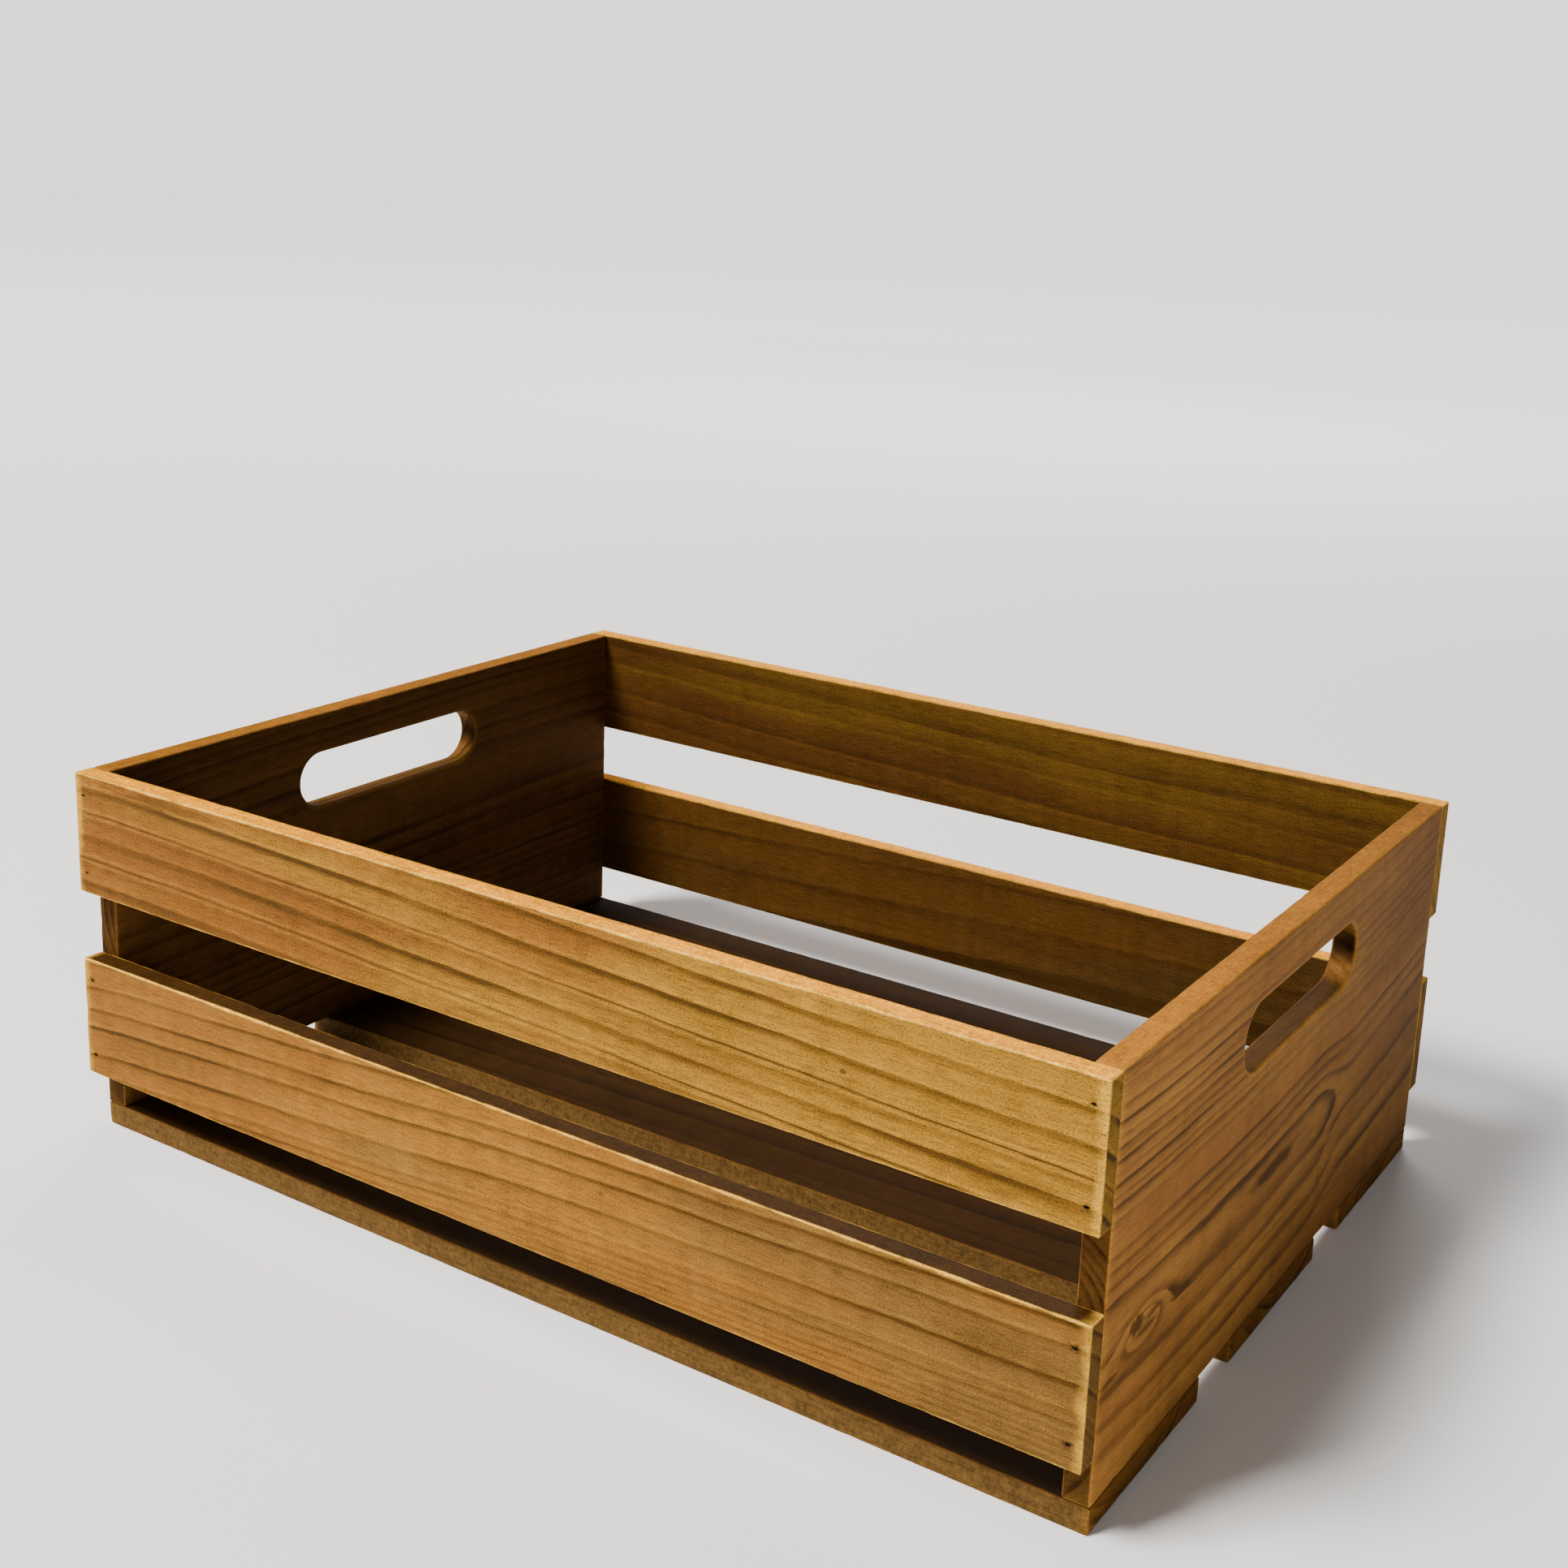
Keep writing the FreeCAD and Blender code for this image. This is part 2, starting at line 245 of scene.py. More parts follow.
def make_floor():
    """A round floor that glows where the lights don't reach, and as pale a wall round it."""
    material, shader = stage_material("pale_floor", FLOOR_GREY)
    s = Shader(material.node_tree)
    place = s.split(s.node("ShaderNodeTexCoord").outputs["Object"])
    away = s.sum("SQRT", s.add(s.mul(place[0], place[0]), s.mul(place[1], place[1])))
    s.feed(shader.inputs["Emission Strength"], s.ramp(away, *GLOW_FROM_TO, 0.0, FLOOR_GLOW))
    rim = ring_points(HORIZON, 0.0)
    make_stage_piece("floor", rim, [range(len(rim))], material)

    material, shader = stage_material("pale_wall", 0.0)
    shader.inputs["Emission Strength"].default_value = HORIZON_GLOW
    radius = HORIZON - WALL_INSET
    points = ring_points(radius, WALL_FOOT) + ring_points(radius, HORIZON)
    count = ROUND_POINTS
    faces = [(step, (step + 1) % count, count + (step + 1) % count, count + step)
             for step in range(count)]
    wall = make_stage_piece("wall", points, faces, material)
    wall.visible_diffuse = False
    wall.visible_glossy = False
    wall.visible_shadow = False


def make_light(name, place, size, power, colour):
    data = bpy.data.lights.new(name, "AREA")
    data.shape = "SQUARE"
    data.size = size
    data.energy = power
    data.color = colour
    light = bpy.data.objects.new(name, data)
    light.location = place
    towards = Vector(LIGHT_TARGET) - light.location
    light.rotation_euler = towards.to_track_quat("-Z", "Y").to_euler()
    bpy.context.scene.collection.objects.link(light)


def make_lights():
    for light in LIGHTS:
        make_light(*light)
    world = bpy.data.worlds.new("soft_white")
    world.use_nodes = True
    background = world.node_tree.nodes["Background"]
    background.inputs["Color"].default_value = (1, 1, 1, 1)
    background.inputs["Strength"].default_value = WORLD_STRENGTH
    bpy.context.scene.world = world


make_camera()
make_floor()
make_lights()

# ---------------------------------------------------------------- wood

# Which object axis runs along the grain, across the board's width, and through it.
ALONG_X_UPRIGHT = (0, 2, 1)
ALONG_X_FLAT = (0, 1, 2)
ALONG_Y_UPRIGHT = (1, 2, 0)

# Painted shade inside the crate: a brown tint for the inner faces, and its share.
INSIDE_SHADE_BROWN = (0.150, 0.064, 0.020)
INSIDE_SHADE_SHARE = 0.3
BRAD_STAIN = (0.016, 0.009, 0.005)
WOOD_IOR = 1.5
WOOD_SPECULAR = 0.03
BUMP_STRENGTH = 0.6
BUMP_HEIGHT = 0.09 * MM
MOST_RINGS = 30
RING_SPREAD = (0.55, 1.45)
# Ring widths go through a curve that holds 0 to 1, as shares of this many millimetres.
WIDEST_RING = 40

# What varies over a board: the length of its features along the grain and across it in
# millimetres, its step from the board's seed, and the noise's detail and roughness.
UNEVEN = {
    "sway": ((170, 130), 1, 2.0, 0.5),
    "ripple": ((45, 20), 2, 2.0, 0.5),
    "fray": ((12, 1.2), 3, 2.0, 0.5),
    "fibre": ((8, 0.45), 4, 3.0, 0.6),
    "streak": ((60, 2.0), 5, 3.0, 0.6),
    "zone": ((130, 24), 6, 2.0, 0.5),
    "figure": ((7, 30), 7, 2.0, 0.5),
    "grit": ((0.9, 0.5), 8, 2.0, 0.7),
    "blotch": ((38, 18), 9, 3.0, 0.55),
    "rub": ((14, 14), 10, 3.0, 0.6),
    "torn": ((2.2, 0.9), 11, 2.0, 0.7),
    "vigour": ((90, 7), 12, 2.0, 0.5),
    "soak": ((140, 25), 13, 2.0, 0.5),
    "mottle": ((1.7, 2.4), 14, 3.0, 0.65),
}


def edge_distance(s, offsets, halves):
    """Millimetres from a point on a board's surface to the nearest arris."""
    gaps = [s.sub(half, s.sum("ABSOLUTE", offset)) for offset, half in zip(offsets, halves)]
    low, high = s.least(gaps[0], gaps[1]), s.most(gaps[0], gaps[1])
    return s.most(low, s.least(high, gaps[2]))


def board_rings(look, halves):
    """Outer radii of the growth rings in a board, and how dark each one's latewood is.

    look["lines"] gives the heights at which dark lines cross the shown face half way
    along the board; a board without it gets a random run of rings.
    """
    pith_v, pith_w = look["pith"]
    half_width, half_thickness = halves[1:]
    rings = []
    if "lines" in look:
        depth = look["face"] * half_thickness - pith_w
        rings = sorted((math.hypot(height - pith_v, depth), dark) for height, dark in look["lines"])
    chance = random.Random(look["seed"])
    reach = math.hypot(half_width + abs(pith_v) + 20, half_thickness + abs(pith_w) + 20)
    nearest = max(2.0, math.hypot(*look["pith"]) - math.hypot(half_width, 12) - 25)
    radius = rings[-1][0] if rings else nearest
    while radius < reach and len(rings) < MOST_RINGS:
        radius += look["spacing"] * chance.uniform(*RING_SPREAD)
        rings.append((radius, chance.uniform(0.35, 1.0)))
    while rings[0][0] > nearest and len(rings) <= MOST_RINGS:
        rings.insert(0, (rings[0][0] - look["spacing"] * chance.uniform(*RING_SPREAD), 0.6))
    return rings


def ring_darkness(s, radius, rings, line):
    """Latewood darkness and early-wood paleness at a radius.

    Colour deepens slowly towards a ring's outer edge, is darkest just inside it, and
    starts afresh, palest, on the other side. line is the dark band's breadth.
    """
    low, high = rings[0][0], rings[-1][0]
    last = len(rings) - 1
    places = [(outer - low) / (high - low) for outer, _ in rings]
    along = s.ramp(radius, low, high, smooth=False)
    phase = s.mul(s.stops(along, places, [step / last for step in range(last + 1)]), last)
    phase = s.least(phase, last - 0.001)
    ring = s.sum("FLOOR", phase)
    age = s.sum("FRACT", phase)
    pick = s.scaled(ring, 1 / last, 0.5 / last)
    bands = [step / last for step in range(last)]
    widths = [(b[0] - a[0]) / WIDEST_RING for a, b in zip(rings, rings[1:])]
    width = s.mul(s.stops(pick, bands, widths, "CONSTANT"), WIDEST_RING)
    strength = s.stops(pick, bands, [dark for _, dark in rings[1:]], "CONSTANT")
    left = s.mul(s.sub(1.0, age), width)
    gone = s.mul(age, width)
    breadth = s.least(line, s.mul(width, 0.55))
    close = s.ramp(left, 0.0, 0.35)
    core = s.mul(s.ramp(left, breadth, s.mul(breadth, 0.35)), close)
    tail = s.mul(s.ramp(left, s.mul(breadth, 3.0), s.mul(breadth, 0.3)), close)
    late = s.mul(s.add(s.mul(core, 0.72), s.mul(tail, 0.28)), strength)
    early = s.mul(s.ramp(gone, 0.1, 0.5), s.ramp(gone, 1.6, 0.5))
    return late, s.mul(early, strength)


def knot_bow(s, u, v, knot):
    """How far the rings are pushed out of the way near a knot."""
    du = s.mul(s.sub(u, knot["u"]), 1 / knot["length"])
    dv = s.mul(s.sub(v, knot["v"]), 1 / knot["height"])
    return s.mul(s.sum("EXPONENT", s.mul(s.add(s.mul(du, du), s.mul(dv, dv)), -1.0)), knot["bow"])


def ragged_mark(s, uvw, mark, seed):
    """A patch with ragged edges: a knot's heart, a resin streak, a bruise, a pale bloom."""
    u, v, _ = uvw
    place_u, place_v, length, height, strength = mark
    rough = s.grain(uvw, (length * 0.35, height * 0.45), seed + place_u, 3.0, 0.65)
    du = s.mul(s.sub(u, place_u), 1 / length)
    dv = s.mul(s.sub(v, place_v), 1 / height)
    reach = s.sum("SQRT", s.add(s.mul(du, du), s.mul(dv, dv)))
    return s.ramp(s.scaled(rough, 0.38, reach), 1.1, 0.5, 0.0, abs(strength))


class Wood:
    """The material of one board: stained softwood cut from its own place in a log.

    u runs along the grain, v across the width and w through the board, in millimetres
    from its centre. centre and halves, the board's half sizes, come in that order too.
    """

    def __init__(self, name, axes, centre, halves, look):
        self.material = bpy.data.materials.new(name)
        self.material.use_nodes = True
        self.s = s = Shader(self.material.node_tree)
        self.look = look
        self.halves = halves
        spot = s.node("ShaderNodeTexCoord")
        place = s.split(spot.outputs["Object"])
        self.uvw = [s.scaled(place[axis], 1 / MM, -middle) for axis, middle in zip(axes, centre)]
        self.off_u, self.off_v = (s.sum("ABSOLUTE", part) for part in self.uvw[:2])
        normal = s.split(spot.outputs["Normal"])
        self.end = s.sum("POWER", s.sum("ABSOLUTE", normal[axes[0]]), 6.0)
        self.edge = s.sum("POWER", s.sum("ABSOLUTE", normal[axes[1]]), 4.0)
        self.through = normal[axes[2]]
        self.outer = s.ramp(self.off_v, halves[1] - 1.5, halves[1] - 0.4)
        self.fibre = self.uneven("fibre")
        self.grit = self.uneven("grit")
        self.rub = self.uneven("rub")

    def uneven(self, kind):
        lengths, step, detail, roughness = UNEVEN[kind]
        return self.s.grain(self.uvw, lengths, self.look["seed"] + step, detail, roughness)

    def tint(self, share, colour):
        self.colour = self.s.mix(share, self.colour, colour)

    def dim(self, factor):
        self.tone = self.s.mul(self.tone, factor)

    def ring_radius(self):
        """Distance from a pith that drifts and wanders along the grain."""
        s, look = self.s, self.look
        u, v, w = self.uvw
        pith_v, pith_w = look["pith"]
        slope, curve = look["drift"]
        drift = s.mul(u, s.scaled(u, curve, slope))
        height = s.sub(v, s.add(drift, s.scaled(self.uneven("sway"), look["wander"], pith_v)))
        if "crowd" in look:
            below, squeeze = look["crowd"]
            height = s.scaled(s.most(s.scaled(height, -1.0, -below), 0.0), squeeze, height)
        depth = s.sub(w, pith_w)
        if "rise" in look:
            start, end, amount = look["rise"]
            depth = s.add(depth, s.ramp(u, start, end, 0.0, amount))
        radius = s.sum("SQRT", s.add(s.mul(height, height), s.mul(depth, depth)))
        ripple = s.mul(self.uneven("ripple"), look["ripple"])
        radius = s.add(radius, s.add(ripple, s.mul(self.uneven("fray"), 0.14)))
        for knot in look.get("knots", ()):
            radius = s.add(radius, knot_bow(s, u, v, knot))
        return radius

    def growth(self):
        """Latewood darkness and early-wood paleness over the board."""
        s, look = self.s, self.look
        u, v, _ = self.uvw
        line = look["line"]
        if "taper" in look:
            start, end, broad = look["taper"]
            line = s.ramp(u, start, end, broad, line)
        late, early = ring_darkness(s, self.ring_radius(), board_rings(look, self.halves), line)
        vigour = s.ramp(self.uneven("vigour"), -0.55, 0.45, 0.6, 1.12)
        if "fade" in look:
            start, end, above = look["fade"]
            past = s.mul(s.ramp(u, start, end), s.ramp(v, above, above + 12))
            vigour = s.mul(vigour, s.scaled(past, -0.55, 1.0))
        return s.mul(late, vigour), early

    def stain(self, late, early):
        """Stain zones, streaks, rings and marks in the colour; fibres and specks in the tone."""
        s, look = self.s, self.look
        along, over, middle = look["zone"]
        blotch = self.uneven("blotch")
        turn = s.scaled(self.uvw[0], along / self.halves[0], self.uneven("zone"))
        turn = s.scaled(self.uvw[1], over / self.halves[1], turn)
        self.colour = s.mix(s.ramp(turn, middle - 0.7, middle + 0.7), look["light"], look["deep"])
        self.tint(s.ramp(self.uneven("streak"), 0.0, 1.1, 0.0, 0.6), look["brown"])
        self.tint(s.ramp(blotch, 0.0, 1.0, 0.0, 0.45), look["deep"])
        self.tint(s.mul(early, look["early"]), look["pale"])
        self.tint(s.mul(late, look["contrast"]), look["late"])
        for mark in look.get("marks", ()):
            tint = look["late"] if mark[4] > 0 else look["pale"]
            self.tint(ragged_mark(s, self.uvw, mark, look["seed"]), tint)
        self.tone = s.scaled(self.fibre, look["fibre"], 1.0)
        self.tone = s.scaled(self.uneven("figure"), look["figure"], self.tone)
        self.tone = s.scaled(self.grit, look["grit"], self.tone)
        self.tone = s.scaled(blotch, look["blotch"], self.tone)

    def end_grain(self):
        """End grain has a tone of its own, and painted shade may run from end to end of a board."""
        s, look = self.s, self.look
        self.dim(s.ramp(self.end, 0.0, 1.0, 1.0, look["end_tone"], smooth=False))
        # Painted shade: lighter at one end of the board, darker at the other.
        if "shade" in look:
            half = self.halves[0]
            self.dim(s.ramp(self.uvw[0], -half, half, *look["shade"], smooth=False))

    def planed_edges(self):
        """Planed edges take the stain in their own colour, which also holds painted light and
        shade, in a fine mottle.
        """
        s, look = self.s, self.look
        planed = s.mul(self.edge, self.outer)
        self.tint(s.mul(planed, look["edge"]), look["planed"])
        self.dim(s.scaled(s.mul(planed, self.uneven("mottle")), look["mottle"], 1.0))

    def cut_walls_and_inside(self):
        """Painted shade: cut walls and the inside of the crate are darker than the outside faces.
        """
        s, look = self.s, self.look
        half = self.halves[0]
        # Painted shade: cut walls, such as a hand slot's, are darkened.
        wall = s.mul(s.most(self.edge, self.end), s.sub(1.0, self.outer))
        wall = s.mul(wall, s.ramp(self.off_u, half - 2, half - 4))
        self.dim(s.scaled(wall, look["wall"] - 1, 1.0))
        # Painted shade: faces towards the inside of the crate are browned and darkened.
        shaded_inside = s.most(s.mul(self.through, look["inside"]), 0.0)
        self.tint(s.mul(shaded_inside, INSIDE_SHADE_SHARE), INSIDE_SHADE_BROWN)
        self.dim(s.scaled(shaded_inside, look["gloom"] - 1, 1.0))

    def worn_arrises(self):
        """Arrises and the ends of a board are rubbed to paler wood, unevenly; the pale line along
        the arrises is also a painted highlight.
        """
        s, look = self.s, self.look
        half = self.halves[0]
        gap = edge_distance(s, self.uvw, self.halves)
        reach = s.scaled(self.rub, 0.5, 0.95)
        # Wear and painted highlight: the arrises turn paler.
        self.tint(s.mul(s.ramp(gap, reach, s.mul(reach, 0.2)), look["wear"]), look["pale"])
        rubbed = s.ramp(s.scaled(self.rub, 2.2, self.off_u), half - 4.5, half, 0.0, look["rub"])
        self.tint(s.mul(rubbed, s.sub(1.0, self.end)), look["pale"])

    def worn_slot_lips(self):
        """The lips of a hand slot are rubbed, and painted with a highlight, in the same way."""
        s, look = self.s, self.look
        level, straight, round_end = look["hole"]
        past = s.most(s.sub(self.off_u, straight), 0.0)
        above = s.sub(self.uvw[1], level)
        away = s.sum("SQRT", s.add(s.mul(past, past), s.mul(above, above)))
        lip = s.sum("ABSOLUTE", s.sub(away, round_end + 1.0))
        self.tint(s.mul(s.ramp(s.scaled(self.rub, 0.4, lip), 1.0, 0.2), look["wear"]), look["pale"])

    def brad_stains(self):
        """Stain pools in the torn fibres round the brads, which sit alike in every corner."""
        s = self.s
        brad_u, brad_v = self.look["brads"]
        across = s.sub(self.off_u, brad_u)
        above = s.sub(self.off_v, brad_v)
        away = s.sum("SQRT", s.add(s.mul(s.mul(across, across), 0.5), s.mul(above, above)))
        amount = s.ramp(self.uneven("soak"), -0.3, 0.3, 0.15, 0.6)
        ring = s.ramp(s.scaled(self.uneven("torn"), 1.3, away), 2.0, 0.5)
        self.tint(s.mul(ring, amount), BRAD_STAIN)

    def connect(self, late):
        """Feeds the colour, the roughness and the raised fibres to the shader."""
        s = self.s
        shader = self.material.node_tree.nodes["Principled BSDF"]
        grey = s.node("ShaderNodeCombineColor")
        for socket in grey.inputs:
            s.feed(socket, self.tone)
        colour = s.mix(1.0, self.colour, grey.outputs[0], blend="MULTIPLY")
        s.feed(shader.inputs["Base Color"], colour)
        gloss = s.scaled(late, -0.06, s.scaled(self.fibre, 0.05, self.look["roughness"]))
        s.feed(shader.inputs["Roughness"], s.scaled(self.end, 0.15, gloss))
        shader.inputs["IOR"].default_value = WOOD_IOR
        shader.inputs["Specular IOR Level"].default_value = WOOD_SPECULAR
        relief = s.scaled(self.fibre, 0.5, s.scaled(self.grit, 0.4, s.mul(late, 0.8)))
        bump = s.node("ShaderNodeBump")
        bump.inputs["Strength"].default_value = BUMP_STRENGTH
        bump.inputs["Distance"].default_value = BUMP_HEIGHT
        s.feed(bump.inputs["Height"], relief)
        s.tree.links.new(bump.outputs[0], shader.inputs["Normal"])


def wood_material(name, axes, centre, halves, look):
    wood = Wood(name, axes, centre, halves, look)
    late, early = wood.growth()
    wood.stain(late, early)
    wood.end_grain()
    wood.planed_edges()
    wood.cut_walls_and_inside()
    wood.worn_arrises()
    if "hole" in look:
        wood.worn_slot_lips()
    if "brads" in look:
        wood.brad_stains()
    wood.connect(late)
    return wood.material


# ---------------------------------------------------------------- board meshes

ARRIS = 0.9 * MM
CELL = 3.5 * MM
SUPPORTS = (1.0 * MM, 2.6 * MM)
SHARP_ANGLE = 38
# Where each board's noise is read, per unit of its seed.
SEED_SHIFT = (3.1, 1.7, 0.9)
# Noise frequency per metre, and depth in millimetres, of what time did to a board.
DENT = (120, 0.22)
NICK = (420, 0.9)
NICK_FROM = 0.28
UNFLATNESS = (11, 0.10)
WORN_BAND = 1.2 * MM
# Height over the board's face, radius and raggedness up a brad's pit, in millimetres.
PIT_STEPS = ((-1.95, 1.14, 0.0), (-0.85, 1.16, 0.0), (-0.45, 1.0, 0.4), (-0.1, 0.95, 0.8),
             (0.8, 1.0, 0.9))
PIT_POINTS = 24
PIT_WAVE = 1.6
PIT_WAVE_RISE = 0.6
PIT_STRETCH, PIT_SQUEEZE = 0.6, 0.3
# A hand slot's cutter: points round each end, and the steps of the flare at its lips.
SLOT_POINTS = 24
FLARE_ANGLES = (90, 68, 45, 22, 0)


def grid_lines(half, radius):
    """Where the mesh lines of a rounded board cross one axis, from end to end."""
    inner = half - radius
    arc = [inner + radius * math.tan(math.radians(angle)) for angle in (0, 15, 30, 45)]
    near = [inner - step for step in SUPPORTS if inner - step > 0.35 * half]
    limit = min(near + [inner])
    count = max(1, round(2 * limit / CELL))
    middle = [-limit + 2 * limit * step / count for step in range(1, count)]
    side = sorted(set(near + arc))
    return [-value for value in reversed(side)] + middle + side


def rounded_board(name, low, high):
    """A board as a fine grid over its six faces, with round arrises."""
    centre = (Vector(low) + Vector(high)) / 2
    halves = (Vector(high) - Vector(low)) / 2
    lines = [grid_lines(half, ARRIS) for half in halves]
    last = [len(line) - 1 for line in lines]
    made = bmesh.new()
    found = {}

    def vertex(key):
        if key not in found:
            spot = Vector(lines[axis][key[axis]] for axis in range(3))
            inner = Vector(
                max(-halves[axis] + ARRIS, min(halves[axis] - ARRIS, spot[axis]))
                for axis in range(3)
            )
            found[key] = made.verts.new(centre + inner + (spot - inner).normalized() * ARRIS)
        return found[key]

    for axis in range(3):
        one, two = (axis + 1) % 3, (axis + 2) % 3
        for side in (0, last[axis]):
            for i in range(last[one]):
                for j in range(last[two]):
                    keys = []
                    for di, dj in ((0, 0), (1, 0), (1, 1), (0, 1)):
                        key = [0, 0, 0]
                        key[axis], key[one], key[two] = side, i + di, j + dj
                        keys.append(tuple(key))
                    if side == 0:
                        keys.reverse()
                    made.faces.new([vertex(key) for key in keys])
    mesh = bpy.data.meshes.new(name)
    made.to_mesh(mesh)
    made.free()
    board = bpy.data.objects.new(name, mesh)
    bpy.context.scene.collection.objects.link(board)
    return board


def wear_board(board, low, high, seed):
    """Dents the arrises a little and takes the perfect flatness out of the faces."""
    centre = (Vector(low) + Vector(high)) / 2
    halves = (Vector(high) - Vector(low)) / 2
    mesh = board.data
    shifts = []
    for vertex in mesh.vertices:
        spot = vertex.co
        gaps = sorted(halves[axis] - abs(spot[axis] - centre[axis]) for axis in range(3))
        edge = max(0.0, 1 - gaps[1] / WORN_BAND)
        seeded = spot + Vector([seed * shift for shift in SEED_SHIFT])
        dent = max(0.0, noise.noise(seeded * DENT[0])) * DENT[1] * MM
        nick = max(0.0, noise.noise(seeded * NICK[0]) - NICK_FROM) * NICK[1] * MM
        sway = noise.noise(seeded * UNFLATNESS[0]) * UNFLATNESS[1] * MM
        shifts.append(spot - vertex.normal * (edge * (dent + nick) + max(0.0, sway)))
    for vertex, spot in zip(mesh.vertices, shifts):
        vertex.co = spot


def cut_with(board, cutter):
    """Takes the cutter's solid out of the board and throws the cutter away."""
    modifier = board.modifiers.new("cut", "BOOLEAN")
    modifier.operation = "DIFFERENCE"
    modifier.solver = "EXACT"
    modifier.object = cutter
    graph = bpy.context.evaluated_depsgraph_get()
    result = bpy.data.meshes.new_from_object(board.evaluated_get(graph))
    board.modifiers.clear()
    old = board.data
    board.data = result
    result.name = old.name
    bpy.data.meshes.remove(old)
    bpy.data.objects.remove(cutter)


def loft(name, solids):
    """One mesh of closed solids, each through rings of points with as many points."""
    made = bmesh.new()
    for rings in solids:
        rows = [[made.verts.new(point) for point in ring] for ring in rings]
        count = len(rows[0])
        for first, second in zip(rows, rows[1:]):
            for step in range(count):
                following = (step + 1) % count
                made.faces.new((first[step], first[following], second[following], second[step]))
        made.faces.new(list(reversed(rows[0])))
        made.faces.new(rows[-1])
    bmesh.ops.recalc_face_normals(made, faces=made.faces)
    mesh = bpy.data.meshes.new(name)
    made.to_mesh(mesh)
    made.free()
    solid = bpy.data.objects.new(name, mesh)
    bpy.context.scene.collection.objects.link(solid)
    return solid


def pit_rings(spot, outwards, grain, seed):
    """A ragged hole over a sunk brad: as wide as its head below, torn narrower at the mouth."""
    side = outwards.cross(grain)
    torn = random.Random(seed).uniform(0.1, 0.6)
    rings = []
    for height, reach, ragged in PIT_STEPS:
        ring = []
        for step in range(PIT_POINTS):
            angle = 2 * math.pi * step / PIT_POINTS
            rise = seed + height * PIT_WAVE_RISE
            wave = Vector((math.cos(angle) * PIT_WAVE, math.sin(angle) * PIT_WAVE, rise))
            radius = reach * MM * (1 - torn * ragged) * (1 + ragged * noise.noise(wave))
            along = grain * radius * (1 + ragged * PIT_STRETCH) * math.cos(angle)
            over = side * radius * (1 - ragged * PIT_SQUEEZE) * math.sin(angle)
            ring.append(spot + outwards * height * MM + along + over)
        rings.append(ring)
    return rings


def slot_cutter(low, high, centre_z, length, height, edge):
    """A long hole through an end panel along X, flared round its edges on both faces."""
    middle = (low[0] + high[0]) / 2
    half = (high[0] - low[0]) / 2
    radius, reach = height / 2, (length - height) / 2
    stations = [(-half - 2 * edge, edge)]
    flare = []
    for angle in map(math.radians, FLARE_ANGLES):
        flare.append((-half + edge - edge * math.sin(angle), edge - edge * math.cos(angle)))
    stations += flare
    stations += [(-half * 0.3, 0.0), (half * 0.3, 0.0)]
    stations += [(-x, grow) for x, grow in reversed(flare)]
    stations.append((half + 2 * edge, edge))
    rings = []
    for x, grow in stations:
        ring = []
        for side in (1, -1):
            for step in range(SLOT_POINTS + 1):
                angle = math.pi * (step / SLOT_POINTS - 0.5)
                y = side * (reach + (radius + grow) * math.cos(angle))
                z = centre_z + side * (radius + grow) * math.sin(angle)
                ring.append(Vector((middle + x, y, z)))
            for step in range(1, SLOT_POINTS):
                y = side * reach * (1 - 2 * step / SLOT_POINTS)
                ring.append(Vector((middle + x, y, centre_z + side * (radius + grow))))
        rings.append(ring)
    return loft("slot", [rings])


def finish_board(board, node, material):
    mesh = board.data
    mesh.materials.clear()
    mesh.materials.append(material)
    for face in mesh.polygons:
        face.use_smooth = True
        face.material_index = 0
    mesh.set_sharp_from_angle(angle=math.radians(SHARP_ANGLE))
    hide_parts(node)
    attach(board, "root")


# ---------------------------------------------------------------- the boards

# Looks. Colours: light and deep by zone, brown streaks, late and pale for the rings, wear and
# painted arris highlights, planed for the long edges with painted light and shade on them. The
# rest are strengths, tones and sizes in millimetres.
#   pith, drift: where the pith lies at mid length, and how it slopes and curves from there
#   lines: heights of dark lines on the shown face, each with its darkness
#   marks: place along and across, length, height, strength; below 0 it is pale
#   inside: which way through the board the inside of the crate lies
GOLD = dict(
    light=(0.325, 0.165, 0.0190), deep=(0.213, 0.081, 0.0135), brown=(0.140, 0.060, 0.0100),
    # Pale planed rims: paler sanded wood, and painted light from above.
    late=(0.074, 0.034, 0.0050), pale=(0.80, 0.435, 0.055), planed=(0.90, 0.345, 0.002),
    contrast=0.95, line=3.2, zone=(-0.8, -0.5, 0.05), fibre=0.44, grit=0.58, figure=0.09,
    # Painted shade: among these, the tones that darken cut walls and the faces inside the crate.
    blotch=0.14, end_tone=0.74, wear=0.95, rub=0.5, edge=0.75, wall=0.5, gloom=0.5, mottle=0.25,
    early=0.12, roughness=0.55, wander=1.6, ripple=0.22, spacing=8.0,
)
COPPER = dict(
    GOLD, light=(0.265, 0.108, 0.0175), deep=(0.176, 0.091, 0.0210), line=2.0,
    zone=(0.75, -0.2, 0.2), fibre=0.40, grit=0.50, early=0.07,
)
UMBER = dict(
    GOLD, light=(0.272, 0.124, 0.0260), deep=(0.198, 0.081, 0.0180), brown=(0.115, 0.046, 0.0095),
    late=(0.056, 0.024, 0.0045), pale=(0.42, 0.20, 0.030), planed=(0.27, 0.097, 0.0045), line=2.7,
    fibre=0.32, grit=0.30, end_tone=0.29, wear=0.35, rub=0.2, edge=0.7, roughness=0.65,
    zone=(0.2, 0.1, 0.0),
)
# Floor boards: darker than UMBER, partly as painted shade inside the crate.
FLOOR = dict(
    UMBER, light=(0.170, 0.078, 0.0140), deep=(0.135, 0.056, 0.0110), end_tone=1.15, contrast=1.0,
    fibre=0.4, gloom=0.2, planed=(0.112, 0.061, 0.0166), edge=0.85, mottle=0.4, inside=1,
)

# Millimetres from the middle of a slat to its brads, along it and across it.
SIDE_BRADS = (225, 16.5)
FLOOR_BRADS = (225, 25.5)

